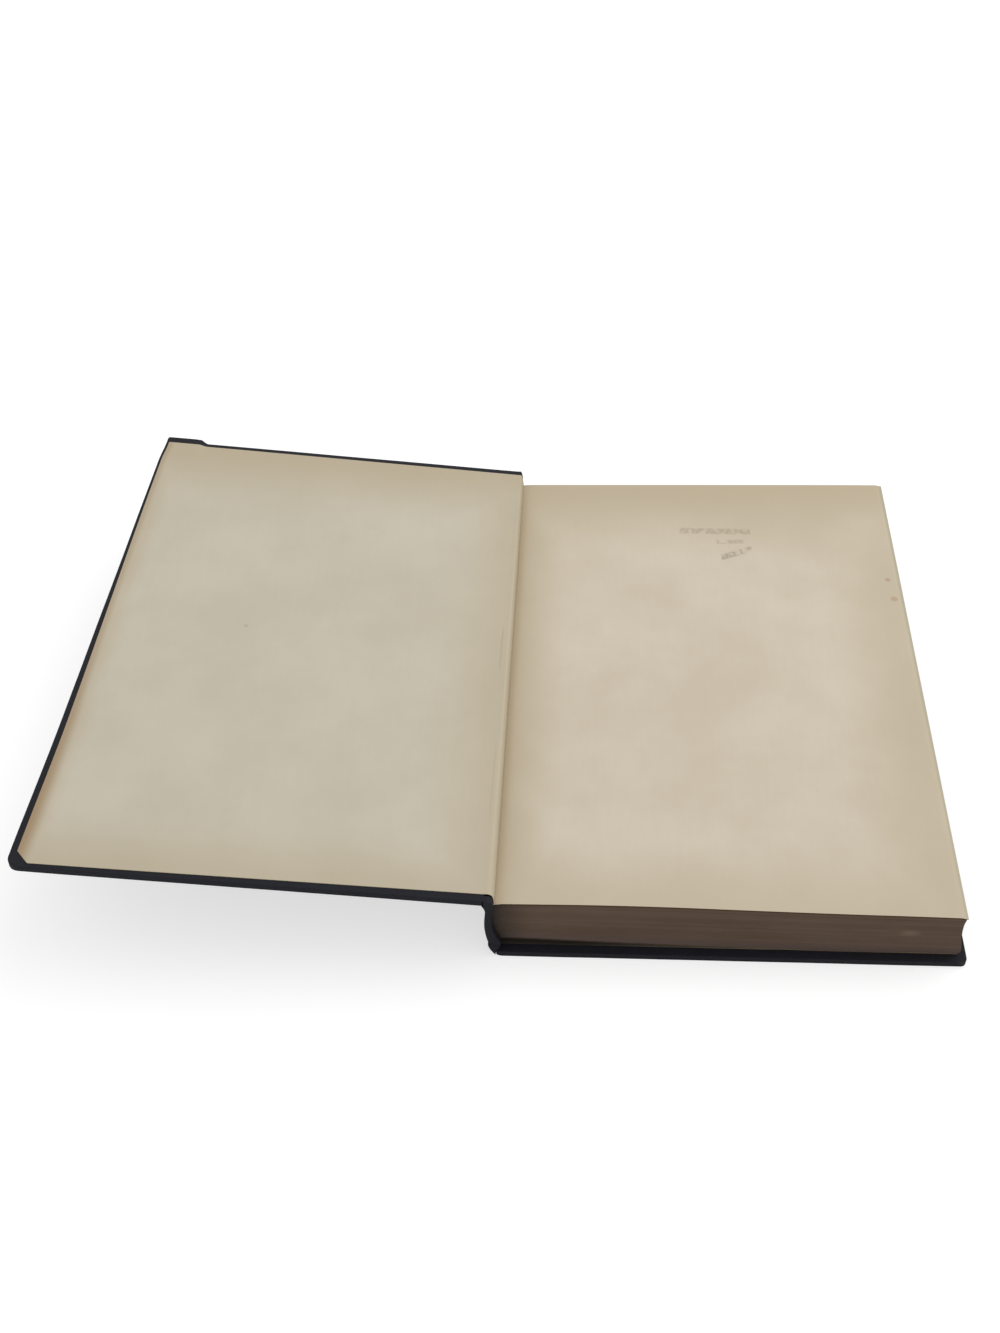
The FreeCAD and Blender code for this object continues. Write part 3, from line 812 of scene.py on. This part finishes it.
def coverRub(place):  # the cover's rim and its outer corners are rubbed
    toFore, toEnd = coverShape["width"] - place.x, coverHalf - abs(place.y)
    corner = 1 - ease(math.hypot(max(toFore, 0), max(toEnd, 0)) / 9)
    edge = 1 - ease(min(toFore, toEnd) / 0.9)
    return max(clothShape["cornerRub"] * corner * edge, clothShape["edgeRub"] * edge)


def makeCoverCloth(name, side):
    width, turnIn, cloth = coverShape["width"], clothShape["turnIn"], coverShape["cloth"]
    corners = clothShape[side]
    piece = addBlock(name, -turnIn, width, -coverHalf, coverHalf, 0, coverDepth)
    selectFaces(piece, lambda middle, normal: normal.z > 0.9)
    bpy.ops.mesh.inset(thickness=turnIn * mm)
    bpy.ops.mesh.delete(type="FACE")
    bpy.ops.mesh.select_all(action="SELECT")
    bpy.ops.mesh.bisect(plane_co=(0, 0, 0), plane_no=(-1, 0, 0), clear_outer=True)
    # the front cover is turned over later, so its head lies at the tail here
    nearTail = (lambda end: end.y > 0) if side == "front" else (lambda end: end.y < 0)
    for corner, test in (("tailCorner", nearTail), ("headCorner", lambda end: not nearTail(end))):
        selectEdges(piece, lambda end: end.x > width - 0.1 and abs(end.y) > coverHalf - 0.1 and test(end))
        bpy.ops.mesh.bevel(offset=corners[corner] * mm, segments=5, affect="EDGES")
    bpy.ops.object.mode_set(mode="OBJECT")
    cutAt(piece, 0, jointCuts + evenly(0, width, 14) + [width - step for step in bumpCuts])
    cutAt(piece, 1, evenly(-coverHalf, coverHalf, 18) + bothEnds(coverHalf, nearCuts))
    roundEdges(piece, clothShape["edgeRound"], 3)
    thicken(piece, cloth, -1.0)
    piece.modifiers.move(0, 1)
    applyAll(piece)
    markRub(piece, coverRub)
    moveVertices(piece, lambda place: worn(place, corners["seed"], coverShape["waviness"]))
    if side == "front":
        moveVertices(piece, onFrontCover)
    else:
        moveVertices(piece, lambda place: place + Vector((foldAcross, 0, jointRounding(place))))
    piece.data.materials.append(coverCloth)
    smooth(piece, 50)
    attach(piece, side + "_cover")
    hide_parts(side + "_cover_cloth")


def trimCorner(piece, corner, size):  # cuts off the corner nearest to the tail and the lowest x
    editPiece(piece)
    bpy.ops.mesh.select_all(action="SELECT")
    place = ((corner[0] + size) * mm, corner[1] * mm, 0)
    bpy.ops.mesh.bisect(plane_co=place, plane_no=(-1, -1, 0), use_fill=True, clear_outer=True)
    bpy.ops.object.mode_set(mode="OBJECT")


def makeInnerCopy(node, material, body, cuts, move):  # a CAD piece that follows a bent part
    clearSelection()
    cadNodes[node].select_set(True)
    bpy.context.view_layer.objects.active = cadNodes[node]
    bpy.ops.object.duplicate()
    piece = bpy.context.active_object
    piece.parent = None
    words = node.split("_")
    piece.name = words[0] + "".join(word.capitalize() for word in words[1:])
    piece.data.name = piece.name
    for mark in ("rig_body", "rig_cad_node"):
        del piece[mark]
    editPiece(piece)
    bpy.ops.mesh.select_all(action="SELECT")
    bpy.ops.mesh.remove_doubles(threshold=0.001 * mm)
    bpy.ops.object.mode_set(mode="OBJECT")
    low, high = (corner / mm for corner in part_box(node))
    for axis, more in cuts.items():
        cutAt(piece, axis, evenly(low[axis], high[axis], 14) + more)
    if node == "front_board":
        trimCorner(piece, low, clothShape["boardTrim"])
    moveVertices(piece, move)
    piece.data.materials.clear()
    piece.data.materials.append(material)
    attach(piece, body)
    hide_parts(node)


makeCoverCloth("frontCoverCloth", "front")
makeCoverCloth("backCoverCloth", "back")
foreLine = hinge[0] - coverShape["hingeSet"] - coverShape["width"]
boardCuts = {0: [foreLine + step for step in bumpCuts], 1: [coverHalf - step for step in nearCuts]}
makeInnerCopy("front_board", greyBoard, "front_cover", boardCuts, warpFrontCover)
backCuts = {0: [foldAcross + step for step in jointCuts]}
makeInnerCopy("back_board", greyBoard, "back_cover", backCuts, roundedAtJoint)
makeInnerCopy("front_mull_flap", gauze, "front_cover", {0: [], 1: []}, warpFrontCover)
print("covers made")


# the front endpaper: one sheet, from the pastedown through the gutter to the flyleaf

sheetShape = {
    "thickness": 0.2,
    "foreMargin": 2.2,     # cloth left showing at the cover's fore edge, less of it at the head
    "foreSlant": 1.1,
    "slantFrom": -60.0,
    "slantReach": 150.0,
    "slantPower": 8,
    "tailMargin": 1.5,     # and at the tail and the head, next to the fore edge
    "headMargin": 2.1,
    "cutAcross": 4.3,      # the pastedown's tail corner is trimmed off
    "cutAlong": 2.6,
    "bumpShare": 0.1,      # how far it follows the cover's bumped corner outwards
    "foreReach": 0.3,      # the flyleaf stands out past the pages
    "clearance": 0.02,     # between the pages and the leaves next to them
    # it rises from the crease and bends over to the cover's edge: across from the fold, height
    "gutter": ((0.0, 24.0), (0.12, 24.8), (0.15, 25.8), (0.05, 26.9), (-0.2, 27.8), (-0.7, 28.4),
               (-1.4, 28.62), (-2.2, 28.66)),
}


def coverInside(out):  # the open cover's upper side, out from its joint edge: across from the fold, height
    slope = math.radians(coverShape["rise"])
    reach = coverShape["hingeSet"] + out
    return (hinge[0] - reach * math.cos(slope) + coverShape["board"] * math.sin(slope) - foldAcross,
            hinge[2] + reach * math.sin(slope) + coverShape["board"] * math.cos(slope))


def onPages(across):
    return across, pagesTop(across, 0) + sheetShape["clearance"]


def gutterLine():  # from the crease to where the sheet meets the cover
    crease = onPages(0.0)
    middle, edge = sheetShape["gutter"], coverInside(0.4)
    low, high = middle[0][1], middle[-1][1]
    rise = (edge[1] - crease[1]) / (high - low)
    return [(across, crease[1] + (height - low) * rise) for across, height in middle] + [edge]


def frontSheetPath():  # from the crease outwards, once towards the cover and once over the pages
    shape = sheetShape
    left = gutterLine() + [coverInside(1.5), coverInside(coverShape["width"] - shape["foreMargin"])]
    places = [step * 0.5 for step in range(20)] + evenly(10, pageWidth, 26)
    places += [pageWidth - step for step in (2.2, 1.8, 1.4, 1.0, 0.6, 0.2)]
    right = [onPages(across) for across in places]
    right.append((pageWidth + shape["foreReach"], pagesTop(pageWidth, 0)))
    return left, right


def lengthOf(path):
    return sum(math.dist(a, b) for a, b in zip(path, path[1:]))


def stops(path):  # how far along the path each of its points lies
    total, places = 0.0, []
    for start, end in zip(path, path[1:]):
        total += math.dist(start, end)
        places.append(total)
    return places[:-1]


def makeFrontSheet():
    shape = sheetShape
    left, right = frontSheetPath()
    reach = lengthOf(left)
    sheet = addPlane("frontEndpaper", -reach, lengthOf(right), -pageHalf, pageHalf)
    cutAt(sheet, 0, [0] + [-stop for stop in stops(left)] + stops(right))
    cutAt(sheet, 0, evenly(-reach, -4, 24) + [step - reach - shape["foreMargin"] for step in bumpCuts])
    cutAt(sheet, 1, evenly(-pageHalf, pageHalf, 24) + [coverHalf - step for step in nearCuts])
    editPiece(sheet)
    bpy.ops.mesh.select_all(action="SELECT")
    corner = ((shape["cutAcross"] - reach) * mm, -pageHalf * mm, 0)
    outwards = (-shape["cutAlong"], -shape["cutAcross"], 0)
    bpy.ops.mesh.bisect(plane_co=corner, plane_no=outwards, clear_outer=True)
    bpy.ops.object.mode_set(mode="OBJECT")
    keepFlatPlan(sheet)

    def fold(place):
        if place.x < 0:
            share = -place.x / reach
            slant = ease((place.y - shape["slantFrom"]) / shape["slantReach"])
            slant *= shape["foreSlant"] * share ** shape["slantPower"]
            across, height = walk(left, slant - place.x)
            tailEnd = mixed(-pageHalf, shape["tailMargin"] - coverHalf, share)
            headEnd = mixed(pageHalf, coverHalf - shape["headMargin"], share)
            along = mixed(tailEnd, headEnd, headShare(place.y))
            onCover = ease((height - left[0][1]) / 3)
            folded = Vector((across + foldAcross, along, height))
            lifted = warpFrontCover(folded.copy(), shape["bumpShare"])
            gutter = pagesTop(0, place.y) - pagesTop(0, 0)
            shift = Vector((gutterShift(across, place.y), 0, 0))
            return mixed(folded + Vector((0, 0, gutter)), lifted, onCover) - shift
        across, height = walk(right, place.x)
        height += pagesTop(across, place.y) - pagesTop(across, 0)
        return Vector((across - headShift(across, place.y) + foldAcross, place.y, height))

    moveVertices(sheet, fold)
    thicken(sheet, shape["thickness"])
    applyAll(sheet)
    sheet.data.materials.append(pastedownPaper)
    sheet.data.materials.append(flyleafPaper)
    sheet.data.materials.append(leafRimWithShade)
    plan = sheet.data.uv_layers["plan"].data
    for face in sheet.data.polygons:
        middle = sum(plan[loop].uv.x for loop in face.loop_indices) / len(face.loop_indices)
        face.material_index = int(middle > -0.5 * mm)
        if middle > 2 * mm and max(abs(face.normal.y), face.normal.x) > 0.8:
            face.material_index = 2
    smooth(sheet, 60)
    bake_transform(sheet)
    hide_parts("front_flyleaf", "front_fold_paper", "front_pastedown")


makeFrontSheet()
print("front endpaper made")


# the cloth spine and the cloth of the two joints

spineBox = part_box("spine_cloth")
spineShape = {
    "bow": 1.0,
    "depth": 1.2,          # cloth, card and the cloth turned in over it
    "topLow": 1.4,         # the inner layers end this much lower, under the first leaves
    "topFrom": 19.0,
    "turnIn": 12.0,
    # the turned-in caps at head and tail reach in to this line: across from the fold, height
    "capInside": ((1.7, 5.6), (1.6, 7.0), (0.7, 9.3), (-0.1, 11.9), (-0.7, 15.2), (-0.7, 18.6),
                  (-0.3, 21), (0, 23.9)),
    "edgeRound": 0.35,
    "backBow": 1.0,
}


def spinePath():  # the outer face of the spine, from its foot to its top
    shape = spineShape
    foot, top = spineBox[0].z / mm, spineBox[1].z / mm
    out = spineBox[0].x / mm
    shares = [step / 16 for step in range(17)]
    return [(out + shape["bow"] * (2 * s - 1) ** 2, mixed(foot, top, s)) for s in shares]


def bendOnto(path, distance, depth):  # depth is measured to the right of the way that the path goes
    before, after = walk(path, max(distance - 0.3, 0)), walk(path, distance + 0.3)
    run = math.dist(before, after)
    right = ((after[1] - before[1]) / run, -(after[0] - before[0]) / run)
    at = walk(path, distance)
    return at[0] + right[0] * depth, at[1] + right[1] * depth


def makeSpineCloth():
    shape, cloth = spineShape, coverShape["cloth"]
    path = spinePath()
    length = lengthOf(path)
    piece = addBlock("spineCloth", 0, length, -coverHalf, coverHalf, 0, shape["depth"])
    turned = coverHalf - shape["turnIn"]
    cutAt(piece, 1, [-turned, turned])

    def isOpen(middle, normal):  # the section's two ends, and its inner side between the turned-in caps
        return abs(normal.x) > 0.9 or normal.z > 0.9 and abs(middle.y) < turned

    selectFaces(piece, isOpen)
    bpy.ops.mesh.delete(type="FACE")
    bpy.ops.object.mode_set(mode="OBJECT")
    cutAt(piece, 0, evenly(0, length, 18))
    cutAt(piece, 1, evenly(-turned, turned, 12) + bothEnds(coverHalf, (1, 2, 3, 5)))
    roundEdges(piece, shape["edgeRound"], 3)
    thicken(piece, cloth, -1.0)
    applyAll(piece)
    markRub(piece, lambda place: 0.2 * (1 - ease((coverHalf - abs(place.y)) / 1.6)))

    inside = [(across + foldAcross, height) for across, height in shape["capInside"]]

    def fold(place):
        cap = ease((abs(place.y) - pageHalf - 0.2) / 0.6)
        across, height = bendOnto(path, place.x, place.z)
        height -= shape["topLow"] * place.z / shape["depth"] * ease((place.x / length - 0.85) / 0.15)
        inner = walk(inside, place.x / length * lengthOf(inside))
        share = cap * min(place.z / shape["depth"], 1)
        shift = headShift(0, place.y) * (place.x / length) ** 2
        across = mixed(across, inner[0] - shift, share)
        return Vector((across, place.y, mixed(height, inner[1] - shift / 3, share)))

    moveVertices(piece, fold)
    piece.data.materials.append(coverCloth)
    smooth(piece, 50)
    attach(piece, "text_block")
    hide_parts("spine_cloth")


def fillCaps(strip, inner, length, child):  # at head and tail the cloth is turned in, up to the inner line
    layer = len(strip.data.vertices) // 2
    first = layer if child == "front_cover" else 0
    plan = strip.data.uv_layers["plan"].data
    shares = {loop.vertex_index: plan[loop.index].uv.x / mm / length for loop in strip.data.loops}
    for number in range(first, first + layer):
        vertex = strip.data.vertices[number]
        along = vertex.co.y / mm
        cap = ease((abs(along) - pageHalf - 0.2) / 0.4)
        across, height = walk(inner, shares[number] * lengthOf(inner))
        if child == "front_cover":
            across -= gutterShift(across - foldAcross, along)
        vertex.co = mixed(vertex.co, Vector((across * mm, vertex.co.y, height * mm)), cap)


def makeJointStrip(name, path, half, thickness, material, child, node, inner=None):
    length = lengthOf(path)
    strip = addPlane(name, 0, length, -half, half)
    cutAt(strip, 0, evenly(0, length, 12))
    cutAt(strip, 1, evenly(-half, half, 16) + bothEnds(pageHalf, (-0.2, -0.6, -1.2)))
    keepFlatPlan(strip)
    moveVertices(strip, lambda place: Vector((*walk(path, place.x), place.y)).xzy)
    thicken(strip, thickness, 1.0 if path[0][1] < path[-1][1] else -1.0)
    applyAll(strip)
    if inner:
        fillCaps(strip, inner, length, child)
    markRub(strip, lambda place: 0.15)

    def followCover(place):
        return mixed(place, warpFrontCover(place.copy()), ease((place.z - path[0][1]) / 2))

    if child == "front_cover":
        moveVertices(strip, followCover)
    strip.data.materials.append(material)
    smooth(strip, 60)
    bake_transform(strip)
    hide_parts(node)


def curvedPath(start, end, bow, steps=12):  # bow is how far it stands off to the left of the way
    run = math.dist(start, end)
    left = (-(end[1] - start[1]) / run, (end[0] - start[0]) / run)
    path = []
    for share in [step / steps for step in range(steps + 1)]:
        aside = bow * 4 * share * (1 - share)
        path.append(tuple(mixed(a, b, share) + side * aside for a, b, side in zip(start, end, left)))
    return path


jointShape = {
    "frontBow": -0.15,
    "frontLap": 0.3,       # the joint's cloth runs this far under the open cover
    "backBow": 0.35,
    "backMargin": 3.2,     # cloth left showing round the back pastedown
    "foldBow": 0.55,
    "backCap": ((1.7, 5.6), (1.0, 4.4), (0.4, 3.3), (0.02, 2.2)),   # as the spine's capInside
    "capInset": 0.05,      # at head and tail its turned-in cloth lies this far under the endpaper
}


def makeJoints():
    shape = jointShape
    slope = math.radians(coverShape["rise"])
    path = spinePath()
    out = coverShape["hingeSet"] + shape["frontLap"]
    cover = (hinge[0] - out * math.cos(slope) - coverShape["cloth"] * math.sin(slope),
             hinge[2] + out * math.sin(slope) - coverShape["cloth"] * math.cos(slope))
    cap = [(across + foldAcross - shape["capInset"], height) for across, height in gutterLine()]
    makeJointStrip("frontJointCloth", curvedPath(path[-1], cover, shape["frontBow"]), coverHalf,
                   coverShape["cloth"], coverCloth, "front_cover", "front_joint_cloth", cap)
    backEdge = (foldAcross, clothShape["jointRound"])
    cap = [(across + foldAcross, height) for across, height in shape["backCap"]]
    makeJointStrip("backJointCloth", curvedPath(backEdge, path[0], shape["backBow"])[::-1], coverHalf,
                   coverShape["cloth"], coverCloth, "back_cover", "back_joint_cloth", cap)
    foot = (foldAcross + pagesShape["footReach"], pagesUnder(pagesShape["footReach"]))
    board = (foldAcross, coverDepth)
    makeJointStrip("backFoldPaper", curvedPath(board, foot, shape["foldBow"])[::-1], pageHalf,
                   sheetShape["thickness"], backPaper, "back_cover", "back_fold_paper")


def makeBackPastedown():
    margin = jointShape["backMargin"]
    fore, head = coverFore - margin, coverHalf - margin
    sheet = addPlane("backPastedown", foldAcross, fore, -head, head, coverDepth)
    cutAt(sheet, 0, evenly(foldAcross, fore, 8))
    thicken(sheet, sheetShape["thickness"])
    applyAll(sheet)
    sheet.data.materials.append(backPaper)
    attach(sheet, "back_cover")
    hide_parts("back_pastedown")


def makeBackFlyleaf():
    start = pagesShape["footReach"]
    leaf = addPlane("backFlyleaf", start, pageWidth, -pageHalf, pageHalf)
    cutAt(leaf, 0, evenly(start, pageWidth, 30))
    cutAt(leaf, 1, evenly(-pageHalf, pageHalf, 6))

    def underPages(place):
        return Vector((place.x + foldAcross, place.y, pagesUnder(place.x) - sheetShape["clearance"]))

    moveVertices(leaf, underPages)
    thicken(leaf, sheetShape["thickness"], -1.0)
    applyAll(leaf)
    leaf.data.materials.append(backPaper)
    smooth(leaf, 60)
    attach(leaf, "text_block")
    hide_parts("back_flyleaf")


def belowLeaves(place):  # what lies on the spine ends under the first leaves
    place.z -= spineShape["topLow"] * ease((place.z - spineShape["topFrom"]) / 5)
    return place


makeSpineCloth()
makeInnerCopy("spine_mull", gauze, "text_block", {2: []}, belowLeaves)
makeInnerCopy("spine_lining", kraftPaper, "text_block", {2: []}, belowLeaves)
makeInnerCopy("spine_card", greyBoard, "text_block", {2: []}, belowLeaves)
makeJoints()
makeBackPastedown()
makeBackFlyleaf()
print("spine and joints made")


# the one CAD piece that keeps its shape

backFlap = cadNodes["back_mull_flap"]
backFlap.data.materials.clear()
backFlap.data.materials.append(gauze)
print("inner pieces dressed")


# camera, light and floor

photoView = {
    "place": (-37.56, -379.37, 393.99),
    "turn": (45.7013, 2.7783, 3.5200),   # degrees
    "lens": 39.16,
}
studio = {
    "sky": 0.7, "skyColour": (1.0, 1.0, 1.0, 1),
    "lampPlace": (700, 500, 1200), "lampAim": (0, 0, 0), "lampSize": 1400, "lampPower": 10.0,
    "floorSize": 6000, "floorColour": 0.8,
    "floorPale": 0.62,       # how much of its whiteness in the picture doesn't depend on light
}


def makeCamera():
    clearSelection()
    bpy.ops.object.camera_add(
        location=[value * mm for value in photoView["place"]],
        rotation=[math.radians(value) for value in photoView["turn"]])
    camera = bpy.context.active_object
    camera.name = "photoCamera"
    camera.data.lens = photoView["lens"]
    camera.data.sensor_width = 36
    camera.data.clip_start = 0.01
    bpy.context.scene.camera = camera


def makeLight():
    place = Vector(studio["lampPlace"]) * mm
    aim = Vector(studio["lampAim"]) * mm
    turn = (aim - place).to_track_quat("-Z", "Y").to_euler()
    bpy.ops.object.light_add(type="AREA", location=place, rotation=turn)
    lamp = bpy.context.active_object
    lamp.name = "windowLight"
    lamp.data.size = studio["lampSize"] * mm
    lamp.data.energy = studio["lampPower"]

    world = bpy.data.worlds.new("paleStudio")
    bpy.context.scene.world = world
    world.use_nodes = True
    tree = world.node_tree
    sky = tree.nodes["Background"]
    sky.inputs["Color"].default_value = studio["skyColour"]
    ray = tree.nodes.new("ShaderNodeLightPath")
    strength = tree.nodes.new("ShaderNodeMix")
    strength.inputs["A"].default_value = studio["sky"]
    strength.inputs["B"].default_value = 1.0
    tree.links.new(ray.outputs["Is Camera Ray"], strength.inputs["Factor"])
    tree.links.new(strength.outputs[0], sky.inputs["Strength"])


def makeFloor():
    half = studio["floorSize"] / 2
    floor = addPlane("floor", -half, half, -half, half, 0)
    plain = Recipe("paleFloor", roughness=0.95, specular=0.0)
    ray = plain.add("LightPath").outputs["Is Camera Ray"]
    plain.shader.inputs["Emission Color"].default_value = (1, 1, 1, 1)
    plain.feed(plain.shader.inputs["Emission Strength"], plain.maths("MULTIPLY", ray, studio["floorPale"]))
    shade = [studio["floorColour"]] * 3 + [1]
    seen = [1 - studio["floorPale"] + 0.12] * 3 + [1]
    floor.data.materials.append(plain.finish(plain.mix(ray, shade, seen)))


makeCamera()
makeLight()
makeFloor()
bpy.context.scene.view_settings.view_transform = "Standard"
print("camera, light and floor made")
